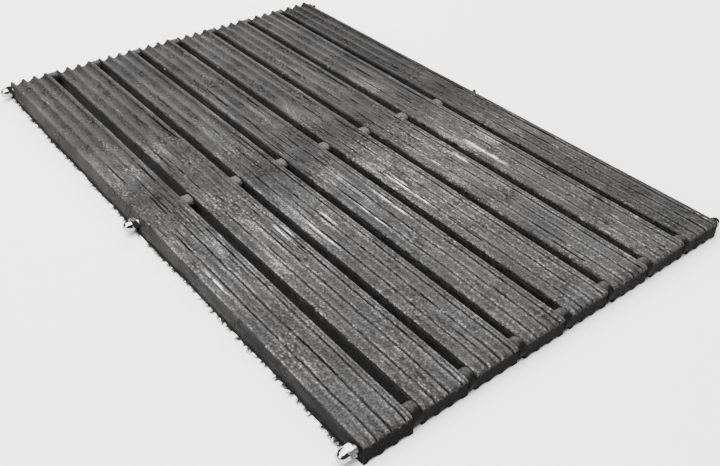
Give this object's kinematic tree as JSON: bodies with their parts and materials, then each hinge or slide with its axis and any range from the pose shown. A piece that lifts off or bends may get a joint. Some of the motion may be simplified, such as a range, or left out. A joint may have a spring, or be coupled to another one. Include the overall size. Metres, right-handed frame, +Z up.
{
  "type": "slatted rubber doormat",
  "caption": "Doormat of long ribbed rubber strips, held apart by round rubber spacers on steel cross rods that end in domed cap nuts, with open slots for dirt.",
  "frame": {"origin": "middle of the mat, at the level of the floor that it lies on", "axes": "+Z up, strips run along Y, cross rods run along X"},
  "size_m": [0.406, 0.603, 0.0163],
  "materials": {
    "strip_rubber": "worn, dusty black rubber with a lengthwise grain, matt",
    "spacer_rubber": "dusty round rubber tube, matt",
    "rod_steel": "plain zinc plated rod",
    "nut_steel": "bright plated steel, smooth"
  },
  "bodies": {
    "root": {"strip_1": "strip_rubber", "strip_2": "strip_rubber", "strip_3": "strip_rubber", "strip_4": "strip_rubber", "strip_5": "strip_rubber", "strip_6": "strip_rubber", "strip_7": "strip_rubber", "strip_8": "strip_rubber", "rod_front": "rod_steel", "rod_middle": "rod_steel", "rod_back": "rod_steel", "spacer_front_1": "spacer_rubber", "spacer_front_2": "spacer_rubber", "spacer_front_3": "spacer_rubber", "spacer_front_4": "spacer_rubber", "spacer_front_5": "spacer_rubber", "spacer_front_6": "spacer_rubber", "spacer_front_7": "spacer_rubber", "spacer_middle_1": "spacer_rubber", "spacer_middle_2": "spacer_rubber", "spacer_middle_3": "spacer_rubber", "spacer_middle_4": "spacer_rubber", "spacer_middle_5": "spacer_rubber", "spacer_middle_6": "spacer_rubber", "spacer_middle_7": "spacer_rubber", "spacer_back_1": "spacer_rubber", "spacer_back_2": "spacer_rubber", "spacer_back_3": "spacer_rubber", "spacer_back_4": "spacer_rubber", "spacer_back_5": "spacer_rubber", "spacer_back_6": "spacer_rubber", "spacer_back_7": "spacer_rubber", "cap_nut_front_left": "nut_steel", "cap_nut_front_right": "nut_steel", "cap_nut_middle_left": "nut_steel", "cap_nut_middle_right": "nut_steel", "cap_nut_back_left": "nut_steel", "cap_nut_back_right": "nut_steel"}
  },
  "joints": []
}
